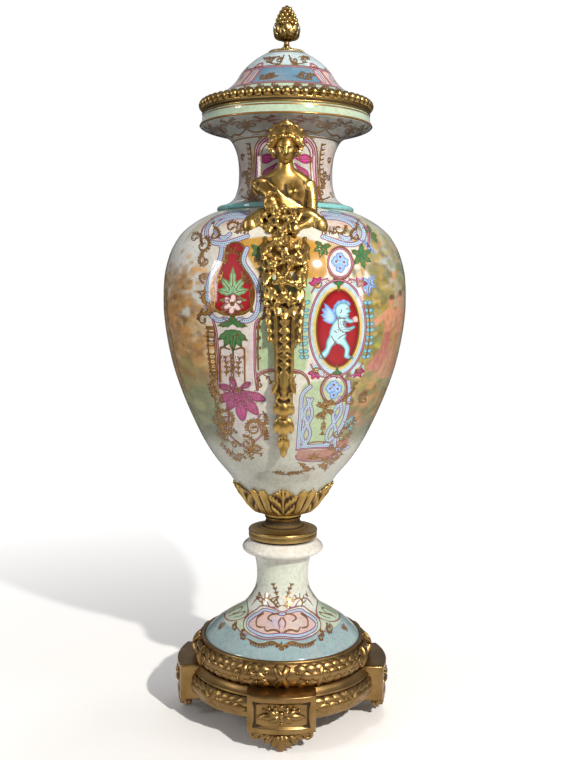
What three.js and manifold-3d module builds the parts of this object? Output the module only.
// A tall porcelain vase with a lid, in gilt bronze mounts: a round plinth on four blocks with leaf feet,
// a trumpet socle, a leaf cup, an egg-shaped body, a flared neck, a beaded rim and two bust handles.
// Millimetres, +Z up. The origin is the centre of the base, on the surface that the feet stand on,
// and one bust handle faces -Y. Every piece stands on the one below it with a small clearance.
import * as THREE from "three";
import { mergeVertices } from "three/addons/utils/BufferGeometryUtils.js";
import Module from "manifold-3d";

const wasm = await Module();
wasm.setup();

// Clearance between two pieces that touch, and how finely round forms are cut.
const CLEARANCE = 0.3;
const ROUND_SEGMENTS = 24;

// Corner blocks and their leaf feet.
const FOOT_HEIGHT = 34;
const FOOT_HALF_WIDTH = 44;
const FOOT_KNOB_RADIUS = 9;
const FOOT_FLAT_DEPTH = 2;
const FOOT_SETBACK = 18;
const BLOCK_HEIGHT = 59.7;
const BLOCK_HALF_WIDTH = 55;
const BLOCK_REACH = 183;
const BLOCK_BULGE = 11;
const BLOCK_INNER = 138;
const PANEL_HALF_WIDTH = 41;
const PANEL_HEIGHT = 34;
const PANEL_DEPTH = 2.5;

// Plinth ring between the blocks: a leaf moulding under a sloping band.
const PLINTH_OUTER = 164;
const PLINTH_INNER = 118;
const PLINTH_HEIGHT = 48;
const LEAF_MOULDING_HEIGHT = 33;
const PLINTH_BAND_REACH = 157;

// Laurel ring that carries the porcelain socle.
const LAUREL_OUTER = 153;
const LAUREL_INNER = 112;
const LAUREL_HEIGHT = 36;
const SEAT_LIP_HEIGHT = 6;
const SEAT_LIP_THICKNESS = 5;

// Porcelain socle.
const SOCLE_RADIUS = 134.5;
const SOCLE_HEIGHT = 172.7;
const SOCLE_WAIST = 44.5;
const SOCLE_COLLAR = 66.5;
const SOCLE_COLLAR_HEIGHT = 24;
const SOCLE_WALL = 7;

// Bronze disc with a spool on the socle.
const DISC_RADIUS = 60;
const DISC_HEIGHT = 19;
const SPOOL_HEIGHT = 18.7;
const SPOOL_RADIUS = 31;

// Leaf cup that holds the body.
const CUP_FLOOR = 6;
const CUP_THICKNESS = 4.5;
const CUP_HEIGHT = 67;
const CUP_LEAF_DROP = 14;
const CUP_LEAVES = 8;
const CUP_FLUTE = 1.5;

// Egg-shaped porcelain body.
const BODY_HEIGHT = 514.4;
const BODY_BASE_RADIUS = 28;
const BODY_RADIUS = 204.2;
const BODY_SHOULDER_RADIUS = 114;
const BODY_MOUTH_RADIUS = 78;
const BODY_WALL = 8;

// Flared porcelain neck.
const NECK_HEIGHT = 155.7;
const NECK_RING_RADIUS = 112;
const NECK_RING_HEIGHT = 10;
const NECK_FOOT_RADIUS = 99;
const NECK_WAIST = 78;
const NECK_LIP_RADIUS = 144;
const NECK_RIM_RADIUS = 139.5;
const NECK_RIM_HEIGHT = 17;
const NECK_WALL = 7;

// Beaded bronze rim that the lid sits in.
const BEAD_COUNT = 54;
const BEAD_RADIUS = 7.3;
const BEAD_CIRCLE_RADIUS = 138;
const RIM_COVE_HEIGHT = 9.4;
const RIM_INNER = 120;
const RIM_SEAT_HEIGHT = 19.7;

// Porcelain lid.
const LID_RADIUS = 130;
const LID_HEIGHT = 81.7;
const LID_TOP_RADIUS = 33;
const LID_WALL = 6;
const LID_BRIM = 4;
const LID_SEAT = 9;

// Bronze cone finial.
const FINIAL_HEIGHT = 79.7;
const FINIAL_PLATE_RADIUS = 30.5;
const FINIAL_STEM_RADIUS = 5.5;
const FINIAL_CONE_RADIUS = 22;

// Bust handles, each with a tapering term below it.
const FIGURE_HEIGHT = 178;
const FIGURE_UNITS = 178;
const FIGURE_SETBACK = 66.2;
const FIGURE_STANDOFF = 26;
const FLOWER_RADIUS = 15;
const STRING_LEAVES = 3;
const STRING_LEAF_LENGTH = 50;
const TERM_HALF_WIDTH = 15.5;
const TERM_DEPTH = 14;
const TERM_EDGE = 4;
const TERM_HUSKS = 5;
const TERM_LENGTH = 245;
const TERM_TOP_DROP = 50;
const TERM_OVERLAP = 40;
const DROP_LENGTH = 98;

// Distance of the figures from the axis, and the heights at which the pieces stand.
const FIGURE_OUT = Math.max(BODY_RADIUS - FIGURE_SETBACK, NECK_RING_RADIUS + FIGURE_STANDOFF);
const BLOCK_Z = FOOT_HEIGHT;
const LAUREL_Z = BLOCK_Z + BLOCK_HEIGHT + CLEARANCE;
const PLINTH_Z = LAUREL_Z - CLEARANCE - PLINTH_HEIGHT;
const SOCLE_Z = LAUREL_Z + LAUREL_HEIGHT + CLEARANCE;
const DISC_Z = SOCLE_Z + SOCLE_HEIGHT + CLEARANCE;
const CUP_Z = DISC_Z + DISC_HEIGHT + SPOOL_HEIGHT + CLEARANCE;
const BODY_Z = CUP_Z + CUP_FLOOR + CLEARANCE;
const NECK_Z = BODY_Z + BODY_HEIGHT + CLEARANCE;
const RIM_Z = NECK_Z + NECK_HEIGHT + CLEARANCE;
const LID_Z = RIM_Z + RIM_SEAT_HEIGHT + CLEARANCE;
const FINIAL_Z = LID_Z + LID_HEIGHT + CLEARANCE;

const bronze = new THREE.MeshStandardMaterial({ color: 0x9a7430, roughness: 0.38, metalness: 1 });
const bronzeDark = new THREE.MeshStandardMaterial({ color: 0x7d6034, roughness: 0.5, metalness: 1 });
const porcelain = new THREE.MeshStandardMaterial({ color: 0xd9dccb, roughness: 0.12, metalness: 0 });

const point = (radius, height) => new THREE.Vector2(radius, height);

// A smooth line of count + 1 points through a few (radius, height) knots.
function smoothProfile(knots, count) {
  return new THREE.SplineCurve(knots.map(([r, z]) => point(r, z))).getPoints(count);
}

// The profile moved sideways by distance, towards the axis where distance is positive.
function inset(profile, distance) {
  return profile.map((p, i) => {
    const before = profile[Math.max(i - 1, 0)];
    const after = profile[Math.min(i + 1, profile.length - 1)];
    const along = after.clone().sub(before).normalize();
    return point(Math.max(p.x - along.y * distance, 0), p.y + along.x * distance);
  });
}

// A closed manifold-3d solid from a three.js geometry, turned the right way out.
function solid(geometry) {
  const bare = geometry.index ? geometry.toNonIndexed() : geometry.clone();
  const merged = mergeVertices(new THREE.BufferGeometry().setAttribute("position", bare.getAttribute("position")), 1e-3);
  const corners = merged.index.array;
  const kept = [];
  for (let i = 0; i < corners.length; i += 3) {
    const [a, b, c] = [corners[i], corners[i + 1], corners[i + 2]];
    if (a !== b && b !== c && c !== a) kept.push(a, b, c);
  }
  const meshOf = (triangles) =>
    new wasm.Mesh({
      numProp: 3,
      vertProperties: new Float32Array(merged.getAttribute("position").array),
      triVerts: new Uint32Array(triangles),
    });
  const made = new wasm.Manifold(meshOf(kept));
  if (made.volume() > 0) return made;
  for (let i = 0; i < kept.length; i += 3) [kept[i + 1], kept[i + 2]] = [kept[i + 2], kept[i + 1]];
  return new wasm.Manifold(meshOf(kept));
}

function geometryOf(made) {
  const mesh = made.getMesh();
  const geometry = new THREE.BufferGeometry();
  geometry.setAttribute("position", new THREE.BufferAttribute(new Float32Array(mesh.vertProperties), 3));
  geometry.setIndex(new THREE.BufferAttribute(new Uint32Array(mesh.triVerts), 1));
  geometry.computeVertexNormals();
  return geometry;
}

// Moves every vertex of a geometry to where shift(angle, radius, height) puts it. Angle 0 is -Y.
function warp(geometry, shift) {
  const place = geometry.getAttribute("position");
  for (let i = 0; i < place.count; i++) {
    const [x, y, z] = [place.getX(i), place.getY(i), place.getZ(i)];
    const angle = Math.atan2(x, -y);
    const [radius, height] = shift(angle, Math.hypot(x, y), z);
    place.setXYZ(i, radius * Math.sin(angle), -radius * Math.cos(angle), height);
  }
  return geometry;
}

// A turned form about +Z from a profile that starts and ends on the axis or closes on itself.
function turned(profile, segments = ROUND_SEGMENTS) {
  return new THREE.LatheGeometry(profile, segments).rotateX(Math.PI / 2);
}

const closed = (profile) => [...profile, profile[0].clone()];

// Turned shell with an outer line going up and an inner line going back down.
const shell = (outer, inner) => turned(closed([...outer, ...[...inner].reverse()]));

// Egg-shaped line of the body, from its base to its shoulder.
function bodyLine(count) {
  const share = (part) => BODY_Z + part * BODY_HEIGHT;
  return smoothProfile(
    [
      [BODY_BASE_RADIUS, share(0)],
      [BODY_RADIUS * 0.3, share(0.045)],
      [BODY_RADIUS * 0.427, share(0.12)],
      [BODY_RADIUS * 0.593, share(0.207)],
      [BODY_RADIUS * 0.723, share(0.295)],
      [BODY_RADIUS * 0.855, share(0.422)],
      [BODY_RADIUS * 0.955, share(0.566)],
      [BODY_RADIUS, share(0.702)],
      [BODY_RADIUS * 0.983, share(0.81)],
      [BODY_RADIUS * 0.922, share(0.883)],
      [BODY_RADIUS * 0.8, share(0.945)],
      [BODY_RADIUS * 0.67, share(0.98)],
      [BODY_SHOULDER_RADIUS, share(1)],
    ],
    count,
  );
}

// Outer line of the neck above its ring: a concave stem that opens under the rim.
function neckLine(count) {
  const bottom = NECK_Z + NECK_RING_HEIGHT;
  const stem = NECK_HEIGHT - NECK_RING_HEIGHT - NECK_RIM_HEIGHT;
  const flare = NECK_LIP_RADIUS - NECK_WAIST;
  const share = (part) => bottom + part * stem;
  return smoothProfile(
    [
      [NECK_FOOT_RADIUS, share(0)],
      [NECK_WAIST + (NECK_FOOT_RADIUS - NECK_WAIST) * 0.27, share(0.14)],
      [NECK_WAIST, share(0.36)],
      [NECK_WAIST + flare * 0.01, share(0.56)],
      [NECK_WAIST + flare * 0.1, share(0.75)],
      [NECK_WAIST + flare * 0.32, share(0.89)],
      [NECK_WAIST + flare * 0.66, share(0.965)],
      [NECK_LIP_RADIUS - 2, share(1)],
    ],
    count,
  );
}

const bodyOuter = bodyLine(12);
const neckStem = neckLine(7);

// Radius of a line at a height, by straight lines between its points.
function radiusAt(line, height) {
  for (let i = 1; i < line.length; i++) {
    if (height <= line[i].y) {
      const share = (height - line[i - 1].y) / (line[i].y - line[i - 1].y);
      return THREE.MathUtils.lerp(line[i - 1].x, line[i].x, THREE.MathUtils.clamp(share, 0, 1));
    }
  }
  return line.at(-1).x;
}

const bodyRadiusAt = (height) => radiusAt(bodyOuter, height);

function bodyGeometry() {
  const inner = inset(bodyLine(5), BODY_WALL);
  const floor = point(0, BODY_Z + BODY_WALL);
  const wall = inner.filter((p) => p.y > floor.y && p.x > 0 && p.y < BODY_Z + BODY_HEIGHT - BODY_WALL);
  const profile = [
    point(0, BODY_Z),
    ...bodyOuter,
    point(BODY_MOUTH_RADIUS, BODY_Z + BODY_HEIGHT),
    point(BODY_MOUTH_RADIUS, BODY_Z + BODY_HEIGHT - BODY_WALL),
    ...wall.reverse(),
    floor,
  ];
  return turned(profile);
}

// The body's outside grown by the clearance, to cut what hugs it.
function bodyEnvelope() {
  const grown = inset(bodyOuter, -CLEARANCE);
  const top = BODY_Z + BODY_HEIGHT + CLEARANCE;
  return solid(turned([point(0, BODY_Z - CLEARANCE), point(BODY_BASE_RADIUS + CLEARANCE, BODY_Z - CLEARANCE),
    ...grown.slice(1), point(BODY_SHOULDER_RADIUS, top), point(0, top)]));
}

function neckOutline() {
  const ringTop = NECK_Z + NECK_RING_HEIGHT;
  const rimTop = NECK_Z + NECK_HEIGHT;
  const lip = rimTop - NECK_RIM_HEIGHT;
  return [
    point(NECK_RING_RADIUS - 3, NECK_Z),
    point(NECK_RING_RADIUS, NECK_Z + 2.5),
    point(NECK_RING_RADIUS - 4, ringTop - 1.5),
    ...neckStem,
    point(NECK_LIP_RADIUS, lip + 3),
    point(NECK_RIM_RADIUS, rimTop),
  ];
}

function neckGeometry() {
  const rimTop = NECK_Z + NECK_HEIGHT;
  const inner = inset(neckLine(4), NECK_WALL);
  const innerRim = NECK_RIM_RADIUS - NECK_WALL - 4;
  const wall = inner.filter((p) => p.x < innerRim);
  return shell(neckOutline(), [
    point(wall[0].x, NECK_Z),
    ...wall,
    point(innerRim, rimTop - NECK_WALL),
    point(innerRim, rimTop),
  ]);
}

function neckEnvelope() {
  const grown = inset(neckOutline(), -CLEARANCE);
  return solid(turned([point(0, NECK_Z - CLEARANCE), ...grown, point(0, grown.at(-1).y)]));
}

function socleGeometry() {
  const top = SOCLE_Z + SOCLE_HEIGHT;
  const collar = top - SOCLE_COLLAR_HEIGHT;
  const rise = collar - SOCLE_Z;
  const spread = SOCLE_RADIUS - SOCLE_WAIST;
  const line = smoothProfile(
    [
      [SOCLE_RADIUS - 1, SOCLE_Z + 6],
      [SOCLE_WAIST + spread * 0.86, SOCLE_Z + rise * 0.13],
      [SOCLE_WAIST + spread * 0.545, SOCLE_Z + rise * 0.27],
      [SOCLE_WAIST + spread * 0.21, SOCLE_Z + rise * 0.415],
      [SOCLE_WAIST + spread * 0.06, SOCLE_Z + rise * 0.58],
      [SOCLE_WAIST, SOCLE_Z + rise * 0.8],
      [SOCLE_WAIST + 4, collar - 4],
    ],
    7,
  );
  const inner = inset(line, SOCLE_WALL).filter((p, i) => i > 0 && p.y < collar - SOCLE_WALL);
  return turned([
    point(0, inner.at(-1).y),
    ...inner.reverse(),
    point(SOCLE_RADIUS - SOCLE_WALL, SOCLE_Z),
    point(SOCLE_RADIUS, SOCLE_Z),
    ...line,
    point(SOCLE_WAIST + 7, collar),
    point(SOCLE_COLLAR - 7, collar + 3),
    point(SOCLE_COLLAR, top - 13),
    point(SOCLE_COLLAR - 1.5, top - 5),
    point(SOCLE_COLLAR - 8, top),
    point(0, top),
  ]);
}

function discGeometry() {
  const top = DISC_Z + DISC_HEIGHT;
  const spoolTop = top + SPOOL_HEIGHT;
  return turned([
    point(0, DISC_Z),
    point(DISC_RADIUS, DISC_Z),
    point(DISC_RADIUS, DISC_Z + 5),
    point(DISC_RADIUS - 2, DISC_Z + 8),
    point(DISC_RADIUS, top - 3),
    point(DISC_RADIUS - 4, top),
    point(SPOOL_RADIUS + 5, top + SPOOL_HEIGHT * 0.35),
    point(SPOOL_RADIUS, spoolTop),
    point(0, spoolTop),
  ]);
}

// Leaf cup: a bowl that follows the body, fluted, with its edge cut down between the leaf tips.
function cupGeometry() {
  const rows = 4;
  const skin = (height) => bodyRadiusAt(Math.max(height, BODY_Z)) + CLEARANCE;
  const outline = [point(0, CUP_Z)];
  for (let i = 0; i <= rows; i++) {
    const height = CUP_Z + (i / rows) * CUP_HEIGHT;
    outline.push(point(skin(height) + CUP_THICKNESS, height));
  }
  const top = CUP_Z + CUP_HEIGHT;
  outline.push(point(skin(top) - CUP_THICKNESS, top), point(0, top));
  const bowl = warp(turned(outline, CUP_LEAVES * 4), (angle, radius, height) => {
    const tip = Math.abs(Math.cos((angle * CUP_LEAVES) / 2));
    const share = (height - CUP_Z) / CUP_HEIGHT;
    const cut = height - share * CUP_LEAF_DROP * (1 - tip);
    const flute = CUP_FLUTE * share * Math.cos(angle * CUP_LEAVES * 2);
    return radius === 0 ? [0, height] : [skin(cut) + radius - skin(height) + flute, cut];
  });
  return geometryOf(solid(bowl).subtract(bodyEnvelope()));
}

// Plan of a corner block: straight sides and back, and a face that bulges outwards.
function blockPlan(halfWidth, inner, reach, grow = 0) {
  const side = halfWidth + grow;
  const corner = reach - BLOCK_BULGE;
  const plan = new THREE.Shape();
  plan.moveTo(-side, -inner + grow);
  plan.lineTo(-side, -corner - grow);
  plan.quadraticCurveTo(0, -reach - BLOCK_BULGE - grow, side, -corner - grow);
  plan.lineTo(side, -inner + grow);
  return plan;
}

const raised = (plan, height, z, curveSegments = 4) =>
  new THREE.ExtrudeGeometry(plan, { depth: height, bevelEnabled: false, curveSegments }).translate(0, 0, z);

function ball(x, y, z, rx, ry, rz, around = 6, up = 4) {
  return solid(new THREE.SphereGeometry(1, around, up).rotateX(Math.PI / 2).scale(rx, ry, rz).translate(x, y, z));
}

const union = (solids) => solids.reduce((whole, next) => whole.add(next));

// A ball stretched between two points, used for leaves, petals and limbs.
function lobe(from, to, width, depth = width, around = 4, up = 3) {
  const [a, b] = [new THREE.Vector3(...from), new THREE.Vector3(...to)];
  const turn = new THREE.Quaternion().setFromUnitVectors(new THREE.Vector3(0, 0, 1), b.clone().sub(a).normalize());
  const middle = a.clone().add(b).multiplyScalar(0.5);
  const geometry = new THREE.SphereGeometry(1, around, up).rotateX(Math.PI / 2);
  geometry.scale(width, depth, a.distanceTo(b) / 2).applyQuaternion(turn).translate(...middle);
  return solid(geometry);
}

function blockGeometry() {
  const face = -BLOCK_REACH + PANEL_DEPTH;
  const panelMiddle = BLOCK_Z + BLOCK_HEIGHT * 0.44;
  const panelZ = panelMiddle - PANEL_HEIGHT / 2;
  const body = solid(raised(blockPlan(BLOCK_HALF_WIDTH, BLOCK_INNER, BLOCK_REACH), BLOCK_HEIGHT, BLOCK_Z));
  const sunk = solid(raised(blockPlan(BLOCK_HALF_WIDTH * 2, BLOCK_INNER, BLOCK_REACH - PANEL_DEPTH), PANEL_HEIGHT, panelZ));
  const window = solid(
    new THREE.BoxGeometry(2 * PANEL_HALF_WIDTH, BLOCK_REACH, PANEL_HEIGHT).translate(0, -BLOCK_REACH, panelMiddle),
  );
  const panel = window.subtract(sunk);
  const leaf = (x, rise, width) =>
    lobe([0, face + 1, panelMiddle], [x, face + 2, panelMiddle + rise], width, PANEL_DEPTH + 1, 4, 2);
  const leaves = [-1, 1].flatMap((side) => [leaf(side * 32, -2, 4), leaf(side * 19, 10, 4), leaf(side * 15, -11, 5)]);
  const rosette = union([...leaves, ball(0, face, panelMiddle, 4, 4, 7)]);
  return geometryOf(body.subtract(panel).add(rosette).add(footSolid()));
}

// Leaf foot: a hanging middle leaf between two side leaves, a curl at each side, and a knob with a flat spot.
function footSolid() {
  const middle = -(BLOCK_REACH - FOOT_SETBACK);
  const top = FOOT_HEIGHT + 3;
  const knobZ = FOOT_KNOB_RADIUS - FOOT_FLAT_DEPTH;
  const parts = [
    ball(0, middle - 2, knobZ, FOOT_KNOB_RADIUS, FOOT_KNOB_RADIUS, FOOT_KNOB_RADIUS),
    ball(0, middle, FOOT_HEIGHT, FOOT_HALF_WIDTH * 0.72, 12, FOOT_HEIGHT * 0.82, 6, 3),
    lobe([0, middle - 7, 4], [0, middle - 6, top], 7, 9),
  ];
  for (const side of [-1, 1]) {
    parts.push(lobe([side * 6, middle - 4, 7], [side * FOOT_HALF_WIDTH * 0.8, middle - 2, top], 9, 11));
    parts.push(ball(side * (FOOT_HALF_WIDTH - 4), middle, FOOT_HEIGHT - 2, 7, 10, 5, 4, 2));
  }
  const slab = new THREE.BoxGeometry(BLOCK_REACH, 2 * BLOCK_REACH, top).translate(0, -BLOCK_REACH, top / 2);
  return union(parts).intersect(solid(slab));
}

// Plinth ring: a bulging leaf moulding, a groove and a sloping band, notched for the four blocks.
function plinthGeometry() {
  const bottom = PLINTH_Z;
  const top = PLINTH_Z + PLINTH_HEIGHT;
  const mouldingTop = bottom + LEAF_MOULDING_HEIGHT;
  const radius = LEAF_MOULDING_HEIGHT / 2;
  const centre = PLINTH_OUTER - radius * 0.8;
  const arc = [-90, -35, 20, 75].map((degrees) => {
    const turn = THREE.MathUtils.degToRad(degrees);
    return point(centre + radius * 0.8 * Math.cos(turn), bottom + radius + radius * Math.sin(turn));
  });
  const profile = closed([
    point(PLINTH_INNER, bottom),
    ...arc,
    point(PLINTH_BAND_REACH, mouldingTop + 1),
    point(BLOCK_INNER + 6, top - 2),
    point(BLOCK_INNER + 4, top),
    point(PLINTH_INNER, top),
  ]);
  let ring = solid(turned(profile));
  const notch = raised(blockPlan(BLOCK_HALF_WIDTH, BLOCK_INNER, BLOCK_REACH, CLEARANCE), PLINTH_HEIGHT * 2, bottom - 20);
  for (let i = 0; i < 4; i++) ring = ring.subtract(solid(notch.clone().rotateZ((i * Math.PI) / 2)));
  return geometryOf(ring);
}

// Laurel ring: a wreath moulding with crossed ribbons and a lip around the socle's seat.
function laurelGeometry() {
  const radius = LAUREL_HEIGHT / 2;
  const centre = LAUREL_OUTER - radius;
  const seat = LAUREL_Z + LAUREL_HEIGHT;
  const lipInner = SOCLE_RADIUS + CLEARANCE;
  const arc = [-90, -30, 25, 72].map((degrees) => {
    const turn = THREE.MathUtils.degToRad(degrees);
    return point(centre + radius * Math.cos(turn), LAUREL_Z + radius + radius * Math.sin(turn));
  });
  const profile = closed([
    point(LAUREL_INNER, LAUREL_Z),
    ...arc,
    point(lipInner + SEAT_LIP_THICKNESS, seat + 1),
    point(lipInner + SEAT_LIP_THICKNESS - 1, seat + SEAT_LIP_HEIGHT),
    point(lipInner, seat + SEAT_LIP_HEIGHT),
    point(lipInner, seat),
    point(LAUREL_INNER, seat),
  ]);
  const ribbon = (angle) => Math.pow(Math.abs(Math.cos(2 * angle)), 24);
  return warp(turned(profile), (angle, r, z) => [
    r > centre + 6 && z < seat ? r + 1.2 * ribbon(angle) : r,
    z,
  ]);
}

// Beaded rim: a cove with a string of beads, each bead two steps round the ring.
function rimGeometry() {
  const beadZ = RIM_Z + RIM_COVE_HEIGHT + BEAD_RADIUS;
  const bead = [-60, 15, 90].map((degrees) => {
    const turn = THREE.MathUtils.degToRad(degrees);
    return point(BEAD_CIRCLE_RADIUS + BEAD_RADIUS * Math.cos(turn), beadZ + BEAD_RADIUS * Math.sin(turn));
  });
  const seatEdge = LID_RADIUS + CLEARANCE;
  const profile = closed([
    point(RIM_INNER, RIM_Z),
    point(NECK_RIM_RADIUS - 2, RIM_Z),
    ...bead,
    point(seatEdge, RIM_Z + RIM_SEAT_HEIGHT),
    point(RIM_INNER, RIM_Z + RIM_SEAT_HEIGHT),
  ]);
  const waist = 0.45;
  return warp(turned(profile, BEAD_COUNT * 2), (angle, r, z) => {
    const reach = Math.hypot(r - BEAD_CIRCLE_RADIUS, z - beadZ);
    if (reach > BEAD_RADIUS + 0.1 || reach < BEAD_RADIUS - 0.1) return [r, z];
    const keep = waist + (1 - waist) * Math.abs(Math.cos((angle * BEAD_COUNT) / 2));
    return [BEAD_CIRCLE_RADIUS + (r - BEAD_CIRCLE_RADIUS) * keep, beadZ + (z - beadZ) * keep];
  });
}

function lidGeometry() {
  const top = LID_Z + LID_HEIGHT;
  const rise = (part) => LID_Z + LID_BRIM + part * (LID_HEIGHT - LID_BRIM);
  const line = smoothProfile(
    [
      [LID_RADIUS - 3, rise(0)],
      [LID_RADIUS * 0.83, rise(0.09)],
      [LID_RADIUS * 0.695, rise(0.28)],
      [LID_RADIUS * 0.61, rise(0.47)],
      [LID_RADIUS * 0.49, rise(0.74)],
      [LID_RADIUS * 0.37, rise(0.91)],
      [LID_TOP_RADIUS, rise(0.98)],
    ],
    6,
  );
  const inner = inset(line, LID_WALL).filter((p, i) => i > 0 && p.y < top - LID_WALL);
  return turned([
    point(0, Math.min(inner.at(-1).y, top - LID_WALL)),
    ...inner.reverse(),
    point(LID_RADIUS - LID_SEAT, LID_Z),
    point(LID_RADIUS, LID_Z),
    point(LID_RADIUS, LID_Z + LID_BRIM - 1),
    ...line,
    point(LID_TOP_RADIUS - 4, top),
    point(0, top),
  ]);
}

// Finial: a plate, a stem with a ring, and a cone of berries in a cup of leaves.
function finialGeometry() {
  const share = (part) => FINIAL_Z + part * FINIAL_HEIGHT;
  const profile = [
    point(0, share(0)),
    point(FINIAL_PLATE_RADIUS, share(0)),
    point(FINIAL_PLATE_RADIUS, share(0.035)),
    point(FINIAL_STEM_RADIUS * 2, share(0.12)),
    point(FINIAL_STEM_RADIUS, share(0.2)),
    point(FINIAL_STEM_RADIUS * 1.1, share(0.29)),
    point(FINIAL_CONE_RADIUS * 0.66, share(0.36)),
    point(FINIAL_CONE_RADIUS, share(0.52)),
    point(FINIAL_CONE_RADIUS * 0.88, share(0.65)),
    point(FINIAL_CONE_RADIUS * 0.72, share(0.78)),
    point(FINIAL_CONE_RADIUS * 0.48, share(0.91)),
    point(0, share(1)),
  ];
  const berryRows = share(0.3);
  return warp(turned(profile, 16), (angle, r, z) => [z > berryRows ? r * (1 + 0.07 * Math.cos(8 * angle)) : r, z]);
}

// Upper half of a woman: torso, head with dressed hair, arms and a slanting drape.
// Places are in the figure's own units, FIGURE_UNITS of them to its height, up from the neck's foot.
function bustSolid() {
  const unit = FIGURE_HEIGHT / FIGURE_UNITS;
  const at = (x, out, up) => [x * unit, -(FIGURE_OUT + out * unit), NECK_Z + up * unit];
  const form = (x, out, up, rx, ry, rz, around, rows) =>
    ball(...at(x, out, up), rx * unit, ry * unit, rz * unit, around, rows);
  const limb = (from, to, width, depth = width) => lobe(at(...from), at(...to), width * unit, depth * unit, 6, 3);
  const outline = [[0, -72], [33, -44], [26, -18], [33, 8], [44, 27], [36, 37], [11, 43], [10.5, 62], [0, 66]];
  const hip = (bodyRadiusAt(NECK_Z - 42 * unit) - FIGURE_OUT) / unit;
  const torso = turned(outline.map(([r, up]) => point(r * unit, up * unit)), 8);
  return union([
    solid(torso.scale(1, 0.62, 1).translate(...at(2, 1, 0))),
    form(1, 2, 83, 15.5, 19, 24, 8, 5),
    form(1, -4, 96, 25, 23, 22, 8, 4),
    form(1, 3, 118, 6, 8, 9, 5, 2),
    form(-13, 16, 10, 13, 12, 13, 6, 3),
    form(18, 16, 9, 13, 12, 13, 6, 3),
    limb([-44, 4, 30], [-18, 32, -46], 9, 8),
    limb([-42, 1, 36], [-42, 10, -2], 13),
    limb([-42, 8, 8], [-20, 40, -24], 9),
    limb([42, 1, 36], [51, 6, -32], 13),
    limb([52, 2, -22], [16, 42, -56], 9),
    limb([-66, hip - 4, -42], [70, hip - 4, -42], 12, 15),
    form(55, hip - 16, -40, 14, 20, 17, 6, 3),
    form(-51, hip - 16, -40, 14, 20, 17, 6, 3),
  ]);
}

// Skin of the body at a height, pushed out by depth, as a place on the -Y side.
const onBody = (x, z, depth) => [x, -bodyRadiusAt(z) - depth, z];

// Flowers heaped between the arms, and a garland of them down the middle of the term.
function flowersSolid() {
  const rows = 4;
  const step = TERM_TOP_DROP * 0.55;
  const flowers = [];
  for (let row = 0; row <= rows; row++) {
    const z = NECK_Z - TERM_TOP_DROP * 0.4 - row * step;
    const size = FLOWER_RADIUS - row;
    const out = Math.max(bodyRadiusAt(z) + TERM_DEPTH, FIGURE_OUT + 36);
    for (const side of row < 2 ? [-1, 0, 1] : [0]) {
      flowers.push(ball(side * 1.2 * size - 3, -out + Math.abs(side) * 5, z, size, size * 0.8, size, 6, 3));
    }
  }
  return union(flowers);
}

// Strings of leaves that hang at both sides of the term, from the hips down.
function leafStringsSolid() {
  const leaves = [];
  for (const side of [-1, 1]) {
    for (let i = 0; i < STRING_LEAVES; i++) {
      const z = NECK_Z - TERM_TOP_DROP * 0.75 - i * STRING_LEAF_LENGTH * 0.8;
      const x = side * (TERM_HALF_WIDTH + 6 - i);
      leaves.push(lobe(onBody(x, z, 3), onBody(x - side, z - STRING_LEAF_LENGTH, 3), 9, 8));
    }
  }
  return union(leaves);
}

// Strip that follows the body down from the figure, proud of it by depth.
function termStrip(depth, halfWidth, offset) {
  const steps = 7;
  const top = NECK_Z - TERM_TOP_DROP + TERM_OVERLAP;
  const heights = Array.from({ length: steps + 1 }, (_, i) => top - (i / steps) * (TERM_LENGTH + TERM_OVERLAP));
  const outline = new THREE.Shape([
    ...heights.map((z) => point(Math.max(bodyRadiusAt(z), FIGURE_OUT) + depth, z)),
    ...heights.reverse().map((z) => point(Math.min(bodyRadiusAt(z) - BODY_WALL, FIGURE_OUT), z)),
  ]);
  const strip = new THREE.ExtrudeGeometry(outline, { depth: 2 * halfWidth, bevelEnabled: false });
  return solid(strip.translate(0, 0, -halfWidth).rotateX(Math.PI / 2).rotateZ(-Math.PI / 2).translate(offset, 0, 0));
}

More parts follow.
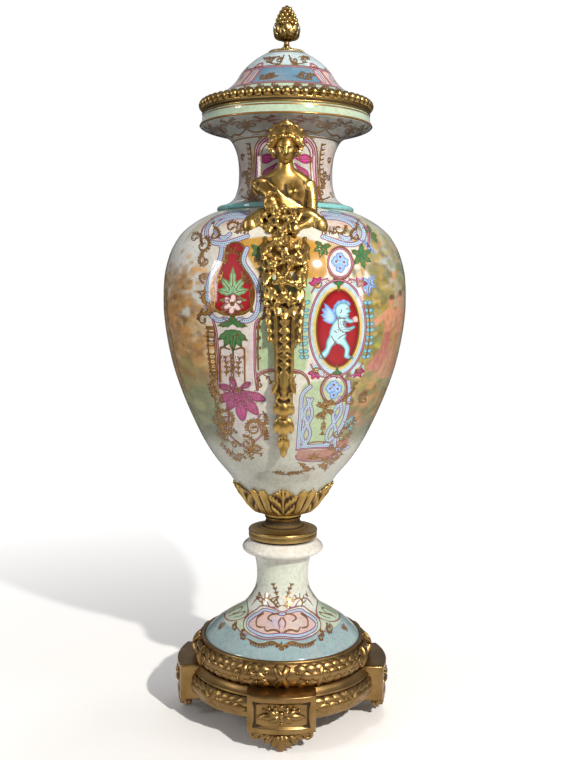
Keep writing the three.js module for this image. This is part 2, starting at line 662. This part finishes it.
// Tapering term: a strip with two raised edges and husks up its sunk middle.
function termSolid() {
  const edge = TERM_HALF_WIDTH - TERM_EDGE / 2;
  const parts = [termStrip(TERM_DEPTH - TERM_EDGE, TERM_HALF_WIDTH - TERM_EDGE / 2, 0)];
  for (const side of [-1, 1]) parts.push(termStrip(TERM_DEPTH, TERM_EDGE / 2, side * edge));
  for (let i = 0; i < TERM_HUSKS; i++) {
    const z = NECK_Z - TERM_TOP_DROP - TERM_LENGTH * (0.45 + (0.5 * i) / TERM_HUSKS);
    parts.push(ball(...onBody(0, z, TERM_DEPTH - TERM_EDGE), 7, 5, 12, 4, 2));
  }
  return union(parts);
}

// Leaves, an open flower and a bud that hang below the term, as shares of their length.
function dropSolid() {
  const start = NECK_Z - TERM_TOP_DROP - TERM_LENGTH;
  const petal = (x1, share1, x2, share2, width) =>
    lobe(onBody(x1, start - share1 * DROP_LENGTH, 5), onBody(x2, start - share2 * DROP_LENGTH, 5), width, 9);
  const sides = [-1, 1].flatMap((side) => [
    petal(side * 4, -0.14, side * 18, 0.04, 7),
    petal(side * 4, 0.08, side * 10, 0.4, 7),
    petal(side * 2, 0.36, side * 14, 0.62, 7),
  ]);
  return union([...sides, petal(0, -0.1, 0, 0.44, 8), petal(0, 0.36, 0, 0.7, 7), petal(0, 0.6, 0, 1, 8)]);
}

const envelope = bodyEnvelope().add(neckEnvelope());
const handleGeometry = geometryOf(
  union([bustSolid(), flowersSolid(), leafStringsSolid(), termSolid(), dropSolid()]).subtract(envelope),
);
const blockShape = blockGeometry();

const vase = new THREE.Group();
vase.name = "mounted_vase";

function place(name, geometry, material, turn = 0) {
  const piece = new THREE.Mesh(geometry, material);
  piece.name = name;
  piece.rotation.z = turn;
  vase.add(piece);
}

["front", "right", "back", "left"].forEach((side, i) => {
  place(`corner_block_${side}`, blockShape, bronzeDark, (i * Math.PI) / 2);
});
place("plinth_ring", plinthGeometry(), bronzeDark);
place("laurel_ring", laurelGeometry(), bronzeDark);
place("socle", socleGeometry(), porcelain);
place("stem_disc", discGeometry(), bronze);
place("leaf_cup", cupGeometry(), bronze);
place("body", bodyGeometry(), porcelain);
place("neck", neckGeometry(), porcelain);
place("beaded_rim", rimGeometry(), bronze);
place("lid", lidGeometry(), porcelain);
place("cone_finial", finialGeometry(), bronze);
place("bust_handle_front", handleGeometry, bronze);
place("bust_handle_back", handleGeometry, bronze, Math.PI);

export default vase;
